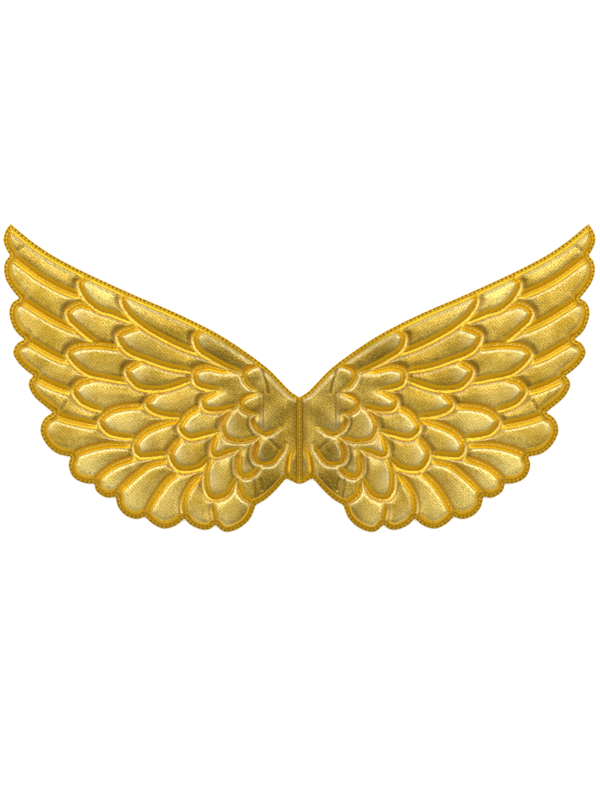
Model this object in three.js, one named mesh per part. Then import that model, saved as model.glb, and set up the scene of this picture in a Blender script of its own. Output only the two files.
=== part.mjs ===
// A pair of padded, quilted angel wings lying on their back: gold cloth over filling, stitched into feathers.
// Each wing is a puffed front on a plain back cloth, and the two wings meet in a flat stitched spine band.
// Millimetres. X runs along the span, Y up the wings, Z from the back cloths to the puffed fronts.
import * as THREE from "three";

// The driving sizes of the pair.
const WING_SPAN = 450;
const WING_HEIGHT = 234;

// The back cloths and the small gap that keeps each piece clear of its neighbours.
const BACK_CLOTH = 1.0;
const GAP = 0.3;

// The front: a flat stitched lip round the edge, a wall, then puffed feathers with V folds between them.
const LIP_WIDTH = 2.0;
const LIP_CLOTH = 1.3;
const WALL_WIDTH = 2.9;
const WALL_RISE = 4.0;
const PUFF_RISE = 1.4;
const PUFF_REACH = 7.0;

// The spine band between the wings.
const SPINE_WIDTH = 4.0;
const SPINE_CLOTH = 1.2;

// How far apart the points of the modelled surface lie.
const EDGE_STEP = 3.6;
const BACK_STEP = 6.5;
const FOLD_STEP = 3.6;
const PANEL_STEP = 7.5;
const CLOSEST = 1.5;

// A moved point counts if it still stands nearly the whole distance off, as it doesn't inside a tight bend.
const STANDS_OFF = 0.94;

const FRONT_BASE = BACK_CLOTH + GAP;
const LIP_TOP = FRONT_BASE + LIP_CLOTH;
const FRONT_INNER_EDGE = SPINE_WIDTH / 2 + GAP;
const BACK_INNER_EDGE = GAP / 2;

// The edge of one wing, feather by feather. Each row starts in the notch where the row before it ends.
// x is the share of the half span out from the spine, y the share of the height up from the lowest feather.
// Columns: feather, notch, then the points round its end as far as the next notch.
const EDGE_ROWS = [
  ["primary_1", [0.976, 1.000], [0.992, 0.978], [1.000, 0.949], [0.992, 0.922],
    [0.977, 0.897]],
  ["primary_2", [0.977, 0.897], [0.993, 0.878], [0.998, 0.850], [0.990, 0.816],
    [0.969, 0.784], [0.946, 0.758]],
  ["primary_3", [0.946, 0.758], [0.969, 0.745], [0.980, 0.714], [0.969, 0.669],
    [0.951, 0.643], [0.928, 0.625]],
  ["primary_4", [0.928, 0.625], [0.952, 0.613], [0.967, 0.584], [0.952, 0.552],
    [0.919, 0.521], [0.898, 0.507]],
  ["primary_5", [0.898, 0.507], [0.911, 0.494], [0.915, 0.477], [0.897, 0.441],
    [0.858, 0.407], [0.833, 0.388]],
  ["primary_6", [0.833, 0.388], [0.862, 0.368], [0.875, 0.331], [0.858, 0.289],
    [0.821, 0.256], [0.772, 0.244]],
  ["tail_1", [0.772, 0.244], [0.780, 0.218], [0.764, 0.178], [0.727, 0.159],
    [0.693, 0.157]],
  ["tail_2", [0.693, 0.157], [0.687, 0.134], [0.659, 0.114], [0.642, 0.111],
    [0.621, 0.115]],
  ["tail_3", [0.621, 0.115], [0.613, 0.082], [0.586, 0.053], [0.548, 0.042],
    [0.522, 0.050]],
  ["tail_4", [0.522, 0.050], [0.494, 0.025], [0.457, 0.011], [0.416, 0.022],
    [0.389, 0.044]],
  ["tail_5", [0.389, 0.044], [0.369, 0.024], [0.335, 0.009], [0.315, 0.007],
    [0.300, 0.011], [0.284, 0.024]],
  ["tail_6", [0.284, 0.024], [0.261, 0.004], [0.244, 0.000], [0.204, 0.012],
    [0.167, 0.043], [0.147, 0.088]],
  ["body", [0.147, 0.088], [0.116, 0.105], [0.083, 0.133], [0.044, 0.175]],
  ["spine_tail", [0.044, 0.175], [0.032, 0.168], [0.015, 0.160], [0.000, 0.157]],
];

// The leading edge from the spine out to the wing's tip, in the same shares.
const LEADING_EDGE = [
  [0.000, 0.437], [0.032, 0.458], [0.099, 0.524], [0.167, 0.575], [0.268, 0.639], [0.403, 0.705],
  [0.571, 0.775], [0.740, 0.850], [0.841, 0.902], [0.909, 0.947], [0.976, 1.000],
];

// The folds that press the filling down into separate feathers, in the same shares.
// Columns: feather whose edge is stitched down, then the points along the stitching.
const FOLD_ROWS = [
  ["primary_1", [0.974, 0.896], [0.942, 0.875], [0.875, 0.827], [0.807, 0.791],
    [0.728, 0.760]],
  ["primary_2", [0.944, 0.757], [0.909, 0.735], [0.841, 0.694], [0.791, 0.670],
    [0.738, 0.649]],
  ["primary_3", [0.925, 0.623], [0.892, 0.607], [0.841, 0.578], [0.807, 0.563],
    [0.774, 0.551]],
  ["primary_4", [0.895, 0.506], [0.858, 0.487], [0.807, 0.466], [0.762, 0.453]],
  ["primary_5", [0.831, 0.387], [0.807, 0.375], [0.774, 0.364], [0.723, 0.353],
    [0.673, 0.345]],
  ["tail_1", [0.770, 0.245], [0.752, 0.256], [0.706, 0.273], [0.639, 0.285],
    [0.559, 0.283]],
  ["tail_2", [0.692, 0.159], [0.674, 0.184], [0.639, 0.211], [0.605, 0.227],
    [0.545, 0.244]],
  ["tail_3", [0.619, 0.117], [0.603, 0.142], [0.555, 0.186], [0.504, 0.221],
    [0.438, 0.236]],
  ["tail_4", [0.521, 0.052], [0.507, 0.083], [0.471, 0.140], [0.437, 0.177],
    [0.399, 0.198]],
  ["tail_5", [0.389, 0.046], [0.395, 0.088], [0.384, 0.128], [0.352, 0.172],
    [0.321, 0.196]],
  ["tail_6", [0.284, 0.026], [0.293, 0.058], [0.294, 0.078], [0.286, 0.102]],
  ["body", [0.153, 0.089], [0.170, 0.097], [0.199, 0.122], [0.208, 0.154],
    [0.205, 0.177]],
  ["covert_1", [0.718, 0.829], [0.744, 0.808], [0.724, 0.758], [0.673, 0.717],
    [0.639, 0.708], [0.605, 0.695], [0.548, 0.674]],
  ["covert_2", [0.590, 0.777], [0.600, 0.751], [0.578, 0.708], [0.521, 0.661],
    [0.470, 0.632], [0.403, 0.600], [0.325, 0.572]],
  ["covert_3", [0.333, 0.660], [0.357, 0.633], [0.344, 0.591], [0.295, 0.558],
    [0.255, 0.537], [0.217, 0.521], [0.193, 0.513]],
  ["covert_4", [0.686, 0.723], [0.743, 0.741], [0.783, 0.716], [0.779, 0.690],
    [0.740, 0.652], [0.706, 0.626], [0.676, 0.609]],
  ["covert_5", [0.533, 0.666], [0.571, 0.662], [0.613, 0.639], [0.588, 0.589],
    [0.504, 0.553], [0.437, 0.532], [0.357, 0.519]],
  ["covert_6", [0.228, 0.523], [0.268, 0.530], [0.308, 0.538], [0.354, 0.524],
    [0.351, 0.481], [0.295, 0.461], [0.263, 0.462]],
  ["covert_7", [0.263, 0.462], [0.292, 0.454], [0.329, 0.428], [0.319, 0.398],
    [0.292, 0.391], [0.261, 0.393], [0.201, 0.408]],
  ["middle_1", [0.596, 0.598], [0.676, 0.608], [0.760, 0.600], [0.781, 0.576],
    [0.723, 0.516], [0.639, 0.495], [0.575, 0.484]],
  ["middle_2", [0.519, 0.555], [0.545, 0.552], [0.585, 0.523], [0.549, 0.471],
    [0.477, 0.460], [0.430, 0.469], [0.359, 0.494]],
  ["middle_3", [0.683, 0.500], [0.713, 0.497], [0.740, 0.489], [0.763, 0.458],
    [0.740, 0.422], [0.706, 0.404], [0.654, 0.391]],
  ["lower_1", [0.519, 0.409], [0.571, 0.410], [0.639, 0.395], [0.674, 0.360],
    [0.649, 0.322], [0.588, 0.306], [0.545, 0.305]],
  ["lower_2", [0.467, 0.458], [0.494, 0.446], [0.518, 0.414], [0.504, 0.395],
    [0.480, 0.383], [0.443, 0.375], [0.389, 0.371]],
  ["lower_3", [0.393, 0.368], [0.437, 0.361], [0.528, 0.323], [0.558, 0.281],
    [0.543, 0.247], [0.497, 0.245], [0.438, 0.253]],
  ["lower_4", [0.324, 0.406], [0.352, 0.400], [0.379, 0.383], [0.406, 0.338],
    [0.376, 0.306], [0.312, 0.315], [0.265, 0.328]],
  ["lower_5", [0.389, 0.311], [0.416, 0.293], [0.439, 0.250], [0.417, 0.208],
    [0.393, 0.199], [0.335, 0.209], [0.295, 0.247]],
  ["under_1", [0.294, 0.243], [0.314, 0.217], [0.321, 0.185], [0.314, 0.127],
    [0.292, 0.107], [0.244, 0.118], [0.205, 0.178]],
  ["under_2", [0.266, 0.325], [0.287, 0.306], [0.298, 0.263], [0.290, 0.246],
    [0.273, 0.244], [0.238, 0.256], [0.196, 0.270]],
  ["under_3", [0.196, 0.268], [0.208, 0.248], [0.210, 0.195], [0.196, 0.178],
    [0.177, 0.175], [0.153, 0.185], [0.127, 0.214]],
  ["inner_1", [0.221, 0.403], [0.241, 0.387], [0.262, 0.341], [0.245, 0.303],
    [0.197, 0.291], [0.160, 0.298], [0.124, 0.311]],
  ["inner_2", [0.142, 0.380], [0.154, 0.367], [0.157, 0.354], [0.147, 0.332],
    [0.125, 0.315], [0.106, 0.314], [0.066, 0.337]],
  ["inner_3", [0.125, 0.308], [0.143, 0.289], [0.155, 0.242], [0.141, 0.222],
    [0.093, 0.220], [0.054, 0.266], [0.045, 0.283]],
  ["shoulder_1", [0.135, 0.545], [0.167, 0.537], [0.186, 0.523], [0.190, 0.506],
    [0.182, 0.485], [0.164, 0.467], [0.137, 0.454]],
  ["shoulder_2", [0.137, 0.453], [0.170, 0.445], [0.192, 0.432], [0.200, 0.417],
    [0.194, 0.399], [0.177, 0.386], [0.142, 0.380]],
  ["tail_fan", [0.017, 0.283], [0.034, 0.253], [0.044, 0.224], [0.048, 0.195],
    [0.044, 0.176]],
];

const halfSpan = WING_SPAN / 2;

// A point of a table in millimetres, never nearer the spine than the piece's inner edge.
function place([x, y], innerEdge = FRONT_INNER_EDGE) {
  return new THREE.Vector2(Math.max(x * halfSpan, innerEdge), y * WING_HEIGHT);
}

// A smooth line through the points of one row, with points about one step apart.
function smoothLine(points, step) {
  const curve = new THREE.CatmullRomCurve3(
    points.map((p) => new THREE.Vector3(p.x, p.y, 0)), false, "centripetal");
  const count = Math.max(3, Math.round(curve.getLength() / step));
  return curve.getSpacedPoints(count).map((p) => new THREE.Vector2(p.x, p.y));
}

// The closed edge of one wing: down round the feathers, up the spine and out along the leading edge.
function wingOutline(step, innerEdge) {
  const lay = (point) => place(point, innerEdge);
  const outline = [];
  for (const [, ...points] of EDGE_ROWS) {
    outline.push(...smoothLine(points.map(lay), step).slice(0, -1));
  }
  const end = lay(EDGE_ROWS.at(-1).at(-1));
  const leading = smoothLine(LEADING_EDGE.map(lay), step);
  const rise = leading[0].y - end.y;
  const count = Math.round(rise / step);
  for (let k = 0; k < count; k += 1) {
    outline.push(new THREE.Vector2(innerEdge, end.y + rise * k / count));
  }
  outline.push(...leading.slice(0, -1));
  return outline;
}

function closedSegments(points) {
  return points.map((p, i) => [p, points[(i + 1) % points.length]]);
}

function openSegments(points) {
  return points.slice(1).map((p, i) => [points[i], p]);
}

function distanceToSegment(p, [a, b]) {
  const along = b.clone().sub(a);
  const share = THREE.MathUtils.clamp(p.clone().sub(a).dot(along) / along.lengthSq(), 0, 1);
  return p.distanceTo(a.clone().addScaledVector(along, share));
}

function nearest(p, segments) {
  let best = Infinity;
  for (const segment of segments) {
    best = Math.min(best, distanceToSegment(p, segment));
  }
  return best;
}

function isInside(p, outline) {
  let inside = false;
  for (const [a, b] of closedSegments(outline)) {
    if ((a.y > p.y) !== (b.y > p.y) && p.x < a.x + (b.x - a.x) * (p.y - a.y) / (b.y - a.y)) {
      inside = !inside;
    }
  }
  return inside;
}

// The points of a line moved sideways by one distance, to the right of its run when the distance is positive.
// The outline runs clockwise, so its right is inside the wing.
function offsetLine(points, distance, closed) {
  return points.map((p, i) => {
    const before = points[closed ? (i + points.length - 1) % points.length : Math.max(i - 1, 0)];
    const after = points[closed ? (i + 1) % points.length : Math.min(i + 1, points.length - 1)];
    const run = after.clone().sub(before).normalize();
    return new THREE.Vector2(p.x + run.y * distance, p.y - run.x * distance);
  });
}

// The height of the front over a point: lip, wall, then filling that rises to its crown away from the folds.
function frontHeight(p, edge, folds) {
  const fromEdge = nearest(p, edge);
  if (fromEdge <= LIP_WIDTH) {
    return LIP_TOP;
  }
  const reach = Math.min(fromEdge - LIP_WIDTH, nearest(p, folds));
  if (reach < WALL_WIDTH) {
    return LIP_TOP + WALL_RISE * reach / WALL_WIDTH;
  }
  const share = Math.min((reach - WALL_WIDTH) / PUFF_REACH, 1);
  return LIP_TOP + WALL_RISE + PUFF_RISE * (1 - (1 - share) ** 2);
}

// The circle through the corners of a triangle, as its middle and squared radius.
function circle(points, [i, j, k]) {
  const a = points[i];
  const b = points[j].clone().sub(a);
  const c = points[k].clone().sub(a);
  const turn = 2 * b.cross(c);
  const x = (c.y * b.lengthSq() - b.y * c.lengthSq()) / turn;
  const y = (b.x * c.lengthSq() - c.x * b.lengthSq()) / turn;
  return { x: a.x + x, y: a.y + y, reach: x * x + y * y };
}

// Joins scattered points into triangles that are as even as they can be.
function joinPoints(scattered) {
  const far = WING_SPAN * 20;
  const hull = [[-far, -far], [far, -far], [0, far]].map(([x, y]) => new THREE.Vector2(x, y));
  const points = [...scattered, ...hull];
  const count = scattered.length;
  const first = [count, count + 1, count + 2];
  let triangles = [{ corners: first, round: circle(points, first) }];
  for (let i = 0; i < count; i += 1) {
    const p = points[i];
    const kept = [];
    const rim = new Map();
    for (const triangle of triangles) {
      const dx = p.x - triangle.round.x;
      const dy = p.y - triangle.round.y;
      if (dx * dx + dy * dy >= triangle.round.reach) {
        kept.push(triangle);
        continue;
      }
      triangle.corners.forEach((from, n) => {
        const to = triangle.corners[(n + 1) % 3];
        if (!rim.delete(`${to},${from}`)) {
          rim.set(`${from},${to}`, [from, to]);
        }
      });
    }
    for (const [from, to] of rim.values()) {
      const corners = [from, to, i];
      kept.push({ corners, round: circle(points, corners) });
    }
    triangles = kept;
  }
  return triangles.map((t) => t.corners).filter((c) => Math.max(...c) < count);
}

// Splits each edge of the lines that the triangles don't follow, so the folds and the outline stay crisp.
// A short edge of a fold is left, because where two folds cross no split would ever end it.
function splitMissing(lines, triangles, indexOf) {
  const sides = new Set(triangles.flatMap((c) => c.map((from, n) => `${from},${c[(n + 1) % 3]}`)));
  let split = false;
  const next = lines.map(({ points, closed }) => {
    const result = [];
    const last = closed ? points.length : points.length - 1;
    points.forEach((p, i) => {
      result.push(p);
      const q = points[(i + 1) % points.length];
      const missing = i < last && !sides.has(`${indexOf.get(p)},${indexOf.get(q)}`)
        && !sides.has(`${indexOf.get(q)},${indexOf.get(p)}`) && (closed || p.distanceTo(q) > CLOSEST);
      if (missing) {
        result.push(p.clone().lerp(q, 0.5));
        split = true;
      }
    });
    return { points: result, closed };
  });
  return { lines: next, split };
}

// The puffed front of the wing as one closed solid: a field of heights, walls and a flat underside.
function wingFront() {
  const outline = wingOutline(EDGE_STEP, FRONT_INNER_EDGE);
  const folds = FOLD_ROWS.map(([, ...points]) => smoothLine(points.map((p) => place(p)), FOLD_STEP));
  const edgeSegments = closedSegments(outline);
  const foldSegments = folds.flatMap(openSegments);

  // A fold's points stand clear of one another and of the edge, so no sliver comes between two lines.
  const placed = [...outline];
  const isClear = (p, gap) => placed.every((q) => q.distanceTo(p) >= gap);
  const foldLines = folds.map((line) => {
    const clear = line.filter((p) => isInside(p, outline) && isClear(p, CLOSEST)
      && nearest(p, edgeSegments) >= CLOSEST);
    placed.push(...clear);
    return { points: clear, closed: false };
  });

  const extra = [];
  const add = (p, gap) => {
    if (isInside(p, outline) && isClear(p, gap)) {
      placed.push(p);
      extra.push(p);
    }
  };
  for (const offset of [LIP_WIDTH, LIP_WIDTH + WALL_WIDTH]) {
    for (const p of offsetLine(outline, offset, true)) {
      if (nearest(p, edgeSegments) > offset * STANDS_OFF) {
        add(p, CLOSEST);
      }
    }
  }
  for (const line of folds) {
    for (const offset of [WALL_WIDTH, -WALL_WIDTH]) {
      for (const p of offsetLine(line, offset, false)) {
        if (nearest(p, foldSegments) > WALL_WIDTH * STANDS_OFF) {
          add(p, CLOSEST);
        }
      }
    }
  }
  const panelClear = PANEL_STEP / 2;
  const rowStep = PANEL_STEP * Math.sqrt(3) / 2;
  for (let row = 0; row * rowStep < WING_HEIGHT; row += 1) {
    for (let x = (row % 2) * PANEL_STEP / 2; x < halfSpan; x += PANEL_STEP) {
      add(new THREE.Vector2(x, row * rowStep), panelClear);
    }
  }

  let lines = [{ points: outline, closed: true }, ...foldLines];
  let points;
  let triangles;
  let split = true;
  while (split) {
    points = [...lines.flatMap((line) => line.points), ...extra];
    const indexOf = new Map(points.map((p, i) => [p, i]));
    triangles = joinPoints(points);
    ({ lines, split } = splitMissing(lines, triangles, indexOf));
  }

  const rim = lines[0].points;
  const inner = triangles.filter((c) => {
    const middle = points[c[0]].clone().add(points[c[1]]).add(points[c[2]]).divideScalar(3);
    return isInside(middle, rim);
  });
  const tops = points.map((p, i) => (i < rim.length ? LIP_TOP : frontHeight(p, edgeSegments, foldSegments)));
  return closedSolid(points, tops, inner, rim.length, FRONT_BASE);
}

// Closes a field of heights: its top, a wall down from the rim, which is the first points, and a flat bottom.
function closedSolid(points, tops, triangles, rimCount, base) {
  const corners = points.map((p, i) => [p.x, p.y, tops[i]]);
  const rim = points.slice(0, rimCount);
  rim.forEach((p) => corners.push([p.x, p.y, base]));
  const turned = (c, places) => THREE.ShapeUtils.area(c.map((i) => places[i])) < 0;
  const faces = triangles.map((c) => (turned(c, points) ? [c[0], c[2], c[1]] : c));
  const low = points.length;
  const turnsLeft = THREE.ShapeUtils.area(rim) > 0;
  rim.forEach((p, i) => {
    const j = (i + 1) % rimCount;
    const wall = [[i, low + i, low + j], [i, low + j, j]];
    faces.push(...wall.map((c) => (turnsLeft ? c : [c[0], c[2], c[1]])));
  });
  for (const c of THREE.ShapeUtils.triangulateShape(rim, [])) {
    const [i, j, k] = turned(c, rim) ? c : [c[0], c[2], c[1]];
    faces.push([low + i, low + j, low + k]);
  }
  return { corners, faces };
}

// The same solid on the other side of the spine, with its faces turned round so that they still point out.
function mirrored({ corners, faces }) {
  return {
    corners: corners.map(([x, y, z]) => [-x, y, z]),
    faces: faces.map(([a, b, c]) => [a, c, b]),
  };
}

function solidGeometry({ corners, faces }) {
  const geometry = new THREE.BufferGeometry();
  geometry.setAttribute("position", new THREE.Float32BufferAttribute(corners.flat(), 3));
  geometry.setIndex(faces.flat());
  geometry.computeVertexNormals();
  return geometry;
}

// The plain cloth behind one wing: its whole outline, one cloth thick.
function wingBack(side) {
  const outline = wingOutline(BACK_STEP, BACK_INNER_EDGE).map((p) => new THREE.Vector2(p.x * side, p.y));
  return new THREE.ExtrudeGeometry(new THREE.Shape(outline), { depth: BACK_CLOTH, bevelEnabled: false });
}

// The band between the wings: it fills the strip from the leading edges' notch to the tail's end.
function spineBand() {
  const low = place(EDGE_ROWS.at(-1).at(-1)).y;
  const high = place(LEADING_EDGE[0]).y;
  const geometry = new THREE.BoxGeometry(SPINE_WIDTH, high - low, SPINE_CLOTH);
  return geometry.translate(0, (low + high) / 2, FRONT_BASE + SPINE_CLOTH / 2);
}

const frontCloth = new THREE.MeshStandardMaterial({ color: 0xc9a544, roughness: 0.4, metalness: 0.7 });
const backCloth = new THREE.MeshStandardMaterial({ color: 0xb8923a, roughness: 0.5, metalness: 0.6 });

// The height table counts up from the lowest feather, so the group moves each mesh down to centre the wings.
const wings = new THREE.Group();
function addPiece(name, geometry, material) {
  const piece = new THREE.Mesh(geometry, material);
  piece.name = name;
  piece.position.y = -WING_HEIGHT / 2;
  wings.add(piece);
}

const front = wingFront();
addPiece("left_wing_front", solidGeometry(mirrored(front)), frontCloth);
addPiece("right_wing_front", solidGeometry(front), frontCloth);
addPiece("left_wing_back", wingBack(-1), backCloth);
addPiece("right_wing_back", wingBack(1), backCloth);
addPiece("spine_seam", spineBand(), frontCloth);

export default wings;
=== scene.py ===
# Padded costume angel wings lying on their back, gold cloth quilted into feathers over soft filling.
# Metres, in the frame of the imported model: X along the span, Y up the wings, Z out of the puffed fronts.
import math

import bmesh
import bpy
import numpy as np
from mathutils import Matrix, Vector
from mathutils import noise as soft_noise
from mathutils.geometry import delaunay_2d_cdt
from mathutils.kdtree import KDTree


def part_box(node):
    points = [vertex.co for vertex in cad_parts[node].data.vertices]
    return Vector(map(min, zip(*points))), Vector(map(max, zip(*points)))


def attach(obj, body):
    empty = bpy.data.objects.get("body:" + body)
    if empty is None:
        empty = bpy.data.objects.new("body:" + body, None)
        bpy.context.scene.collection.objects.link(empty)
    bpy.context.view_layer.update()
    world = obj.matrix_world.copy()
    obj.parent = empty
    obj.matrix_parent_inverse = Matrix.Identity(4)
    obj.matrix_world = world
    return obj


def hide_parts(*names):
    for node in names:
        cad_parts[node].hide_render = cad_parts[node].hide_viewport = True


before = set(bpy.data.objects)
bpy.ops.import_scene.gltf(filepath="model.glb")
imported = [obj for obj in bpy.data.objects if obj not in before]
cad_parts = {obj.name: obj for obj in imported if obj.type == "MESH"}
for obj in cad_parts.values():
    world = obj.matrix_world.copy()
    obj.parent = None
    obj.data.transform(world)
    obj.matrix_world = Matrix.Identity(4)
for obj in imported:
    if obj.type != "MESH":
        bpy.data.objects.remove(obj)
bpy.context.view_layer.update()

# Wing fronts. Each is metallic woven cloth over soft filling, sewn down through all the layers: a flat lip
# round the edge, then stitched folds that press the filling into separate overlapping feathers.
# Each row: the feather, the notch before it, then points round its end to the next notch, as shares of the
# half span and of the height.
EDGE_ROWS = (
    ("primary_1", (0.976, 1.000), (0.992, 0.978), (1.000, 0.949), (0.992, 0.922), (0.977, 0.897)),
    ("primary_2", (0.977, 0.897), (0.993, 0.878), (0.998, 0.850), (0.990, 0.816),
     (0.969, 0.784), (0.946, 0.758)),
    ("primary_3", (0.946, 0.758), (0.969, 0.745), (0.980, 0.714), (0.969, 0.669),
     (0.951, 0.643), (0.928, 0.625)),
    ("primary_4", (0.928, 0.625), (0.952, 0.613), (0.967, 0.584), (0.952, 0.552),
     (0.919, 0.521), (0.898, 0.507)),
    ("primary_5", (0.898, 0.507), (0.911, 0.494), (0.915, 0.477), (0.897, 0.441),
     (0.858, 0.407), (0.833, 0.388)),
    ("primary_6", (0.833, 0.388), (0.862, 0.368), (0.875, 0.331), (0.858, 0.289),
     (0.821, 0.256), (0.772, 0.244)),
    ("tail_1", (0.772, 0.244), (0.780, 0.218), (0.764, 0.178), (0.727, 0.159), (0.693, 0.157)),
    ("tail_2", (0.693, 0.157), (0.687, 0.134), (0.659, 0.114), (0.642, 0.111), (0.621, 0.115)),
    ("tail_3", (0.621, 0.115), (0.613, 0.082), (0.586, 0.053), (0.548, 0.042), (0.522, 0.050)),
    ("tail_4", (0.522, 0.050), (0.494, 0.025), (0.457, 0.011), (0.416, 0.022), (0.389, 0.044)),
    ("tail_5", (0.389, 0.044), (0.369, 0.024), (0.335, 0.009), (0.315, 0.007),
     (0.300, 0.011), (0.284, 0.024)),
    ("tail_6", (0.284, 0.024), (0.261, 0.004), (0.244, 0.000), (0.204, 0.012),
     (0.167, 0.043), (0.147, 0.088)),
    ("body", (0.147, 0.088), (0.116, 0.105), (0.083, 0.133), (0.044, 0.175)),
    ("spine_tail", (0.044, 0.175), (0.032, 0.168), (0.015, 0.160), (0.000, 0.157)),
)
LEADING_EDGE = (
    (0.009, 0.443), (0.032, 0.458), (0.099, 0.524), (0.167, 0.575), (0.268, 0.639), (0.403, 0.705),
    (0.571, 0.775), (0.740, 0.850), (0.841, 0.902), (0.909, 0.947), (0.976, 1.000),
)
FOLD_ROWS = (
    ("primary_1", (0.974, 0.896), (0.942, 0.875), (0.875, 0.827), (0.807, 0.791), (0.728, 0.760)),
    ("primary_2", (0.944, 0.757), (0.909, 0.735), (0.841, 0.694), (0.791, 0.670), (0.738, 0.649)),
    ("primary_3", (0.925, 0.623), (0.892, 0.607), (0.841, 0.578), (0.807, 0.563), (0.774, 0.551)),
    ("primary_4", (0.895, 0.506), (0.858, 0.487), (0.807, 0.466), (0.762, 0.453)),
    ("primary_5", (0.831, 0.387), (0.807, 0.375), (0.774, 0.364), (0.723, 0.353), (0.673, 0.345)),
    ("tail_1", (0.559, 0.283), (0.639, 0.285), (0.706, 0.273), (0.752, 0.256), (0.770, 0.245)),
    ("tail_2", (0.545, 0.244), (0.605, 0.227), (0.639, 0.211), (0.674, 0.184), (0.692, 0.159)),
    ("tail_3", (0.438, 0.236), (0.504, 0.221), (0.555, 0.186), (0.603, 0.142), (0.619, 0.117)),
    ("tail_4", (0.399, 0.198), (0.437, 0.177), (0.471, 0.140), (0.507, 0.083), (0.521, 0.052)),
    ("tail_5", (0.321, 0.196), (0.352, 0.172), (0.384, 0.128), (0.395, 0.088), (0.389, 0.046)),
    ("tail_6", (0.286, 0.102), (0.294, 0.078), (0.293, 0.058), (0.284, 0.026)),
    ("body", (0.205, 0.177), (0.208, 0.154), (0.199, 0.122), (0.170, 0.097), (0.153, 0.089)),
    ("covert_1", (0.718, 0.829), (0.744, 0.808), (0.724, 0.758), (0.673, 0.717),
     (0.639, 0.708), (0.605, 0.695), (0.548, 0.674)),
    ("covert_2", (0.590, 0.777), (0.600, 0.751), (0.578, 0.708), (0.521, 0.661),
     (0.470, 0.632), (0.403, 0.600), (0.325, 0.572)),
    ("covert_3", (0.333, 0.660), (0.357, 0.633), (0.344, 0.591), (0.295, 0.558),
     (0.255, 0.537), (0.217, 0.521), (0.193, 0.513)),
    ("covert_4", (0.686, 0.723), (0.743, 0.741), (0.783, 0.716), (0.779, 0.690),
     (0.740, 0.652), (0.706, 0.626), (0.676, 0.609)),
    ("covert_5", (0.533, 0.666), (0.571, 0.662), (0.613, 0.639), (0.588, 0.589),
     (0.504, 0.553), (0.437, 0.532), (0.357, 0.519)),
    ("covert_6", (0.228, 0.523), (0.268, 0.530), (0.308, 0.538), (0.354, 0.524),
     (0.351, 0.481), (0.295, 0.461), (0.263, 0.462)),
    ("covert_7", (0.263, 0.462), (0.292, 0.454), (0.329, 0.428), (0.319, 0.398),
     (0.292, 0.391), (0.261, 0.393), (0.201, 0.408)),
    ("middle_1", (0.596, 0.598), (0.676, 0.608), (0.760, 0.600), (0.781, 0.576),
     (0.723, 0.516), (0.639, 0.495), (0.575, 0.484)),
    ("middle_2", (0.519, 0.555), (0.545, 0.552), (0.585, 0.523), (0.549, 0.471),
     (0.477, 0.460), (0.430, 0.469), (0.359, 0.494)),
    ("middle_3", (0.683, 0.500), (0.713, 0.497), (0.740, 0.489), (0.763, 0.458),
     (0.740, 0.422), (0.706, 0.404), (0.654, 0.391)),
    ("lower_1", (0.519, 0.409), (0.571, 0.410), (0.639, 0.395), (0.674, 0.360),
     (0.649, 0.322), (0.588, 0.306), (0.545, 0.305)),
    ("lower_2", (0.467, 0.458), (0.494, 0.446), (0.518, 0.414), (0.504, 0.395),
     (0.480, 0.383), (0.443, 0.375), (0.389, 0.371)),
    ("lower_3", (0.393, 0.368), (0.437, 0.361), (0.528, 0.323), (0.558, 0.281),
     (0.543, 0.247), (0.497, 0.245), (0.438, 0.253)),
    ("lower_4", (0.324, 0.406), (0.352, 0.400), (0.379, 0.383), (0.406, 0.338),
     (0.376, 0.306), (0.312, 0.315), (0.265, 0.328)),
    ("lower_5", (0.389, 0.311), (0.416, 0.293), (0.439, 0.250), (0.417, 0.208),
     (0.393, 0.199), (0.335, 0.209), (0.295, 0.247)),
    ("under_1", (0.294, 0.243), (0.314, 0.217), (0.321, 0.185), (0.314, 0.127),
     (0.292, 0.107), (0.244, 0.118), (0.205, 0.178)),
    ("under_2", (0.266, 0.325), (0.287, 0.306), (0.298, 0.263), (0.290, 0.246),
     (0.273, 0.244), (0.238, 0.256), (0.196, 0.270)),
    ("under_3", (0.196, 0.268), (0.208, 0.248), (0.210, 0.195), (0.196, 0.178),
     (0.177, 0.175), (0.153, 0.185), (0.127, 0.214)),
    ("inner_1", (0.221, 0.403), (0.241, 0.387), (0.262, 0.341), (0.245, 0.303),
     (0.197, 0.291), (0.160, 0.298), (0.124, 0.311)),
    ("inner_2", (0.142, 0.380), (0.154, 0.367), (0.157, 0.354), (0.147, 0.332),
     (0.125, 0.315), (0.106, 0.314), (0.066, 0.337)),
    ("inner_3", (0.125, 0.308), (0.143, 0.289), (0.155, 0.242), (0.141, 0.222),
     (0.093, 0.220), (0.054, 0.266), (0.045, 0.283)),
    ("shoulder_1", (0.135, 0.545), (0.167, 0.537), (0.186, 0.523), (0.190, 0.506),
     (0.182, 0.485), (0.164, 0.467), (0.137, 0.454)),
    ("shoulder_2", (0.137, 0.453), (0.170, 0.445), (0.192, 0.432), (0.200, 0.417),
     (0.194, 0.399), (0.177, 0.386), (0.142, 0.380)),
    ("tail_fan", (0.017, 0.283), (0.034, 0.253), (0.044, 0.224), (0.048, 0.195), (0.044, 0.176)),
)
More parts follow.
